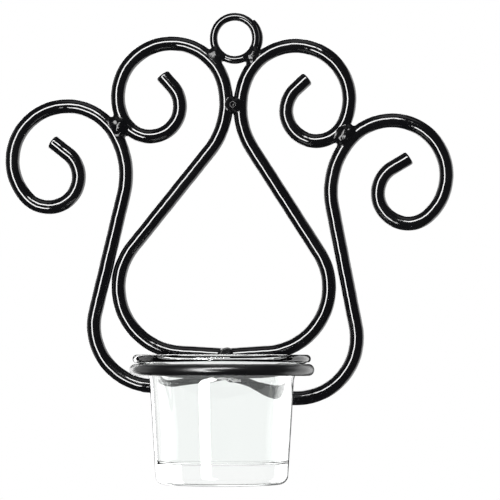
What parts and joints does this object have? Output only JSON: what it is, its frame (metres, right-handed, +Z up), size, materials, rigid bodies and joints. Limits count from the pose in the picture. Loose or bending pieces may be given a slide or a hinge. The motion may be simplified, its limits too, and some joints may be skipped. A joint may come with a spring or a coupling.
{
  "type": "wall sconce candle holder",
  "caption": "Welded wire scroll wall sconce with a hanging eye, holding a lift-out flared glass candle cup in a horizontal ring.",
  "frame": {"origin": "centre of the hanging eye, in the plane of the wall", "axes": "+Z up, +X to the right as seen from the room, +Y into the wall; the sconce is on the -Y side"},
  "size_m": [0.1567, 0.067, 0.1632],
  "materials": {
    "gloss_black_paint": "gloss",
    "satin_black_paint": "satin",
    "clear_glass": "clear"
  },
  "bodies": {
    "frame": {"inner_scroll_left": "gloss_black_paint", "inner_scroll_right": "gloss_black_paint", "outer_scroll_left": "gloss_black_paint", "outer_scroll_right": "gloss_black_paint", "hanging_eye": "gloss_black_paint", "cup_ring": "satin_black_paint", "centre_weld": "gloss_black_paint", "shoulder_weld_left": "gloss_black_paint", "shoulder_weld_right": "gloss_black_paint", "eye_weld_left": "gloss_black_paint", "eye_weld_right": "gloss_black_paint", "end_weld": "gloss_black_paint", "ring_weld_upper": "gloss_black_paint", "ring_weld_lower": "gloss_black_paint"},
    "cup": {"glass_cup": "clear_glass"}
  },
  "joints": [
    {"name": "cup_lift", "type": "slide", "parent": "frame", "child": "cup", "axis": [0, 0, 1], "range_m": [0, 0.06]}
  ]
}
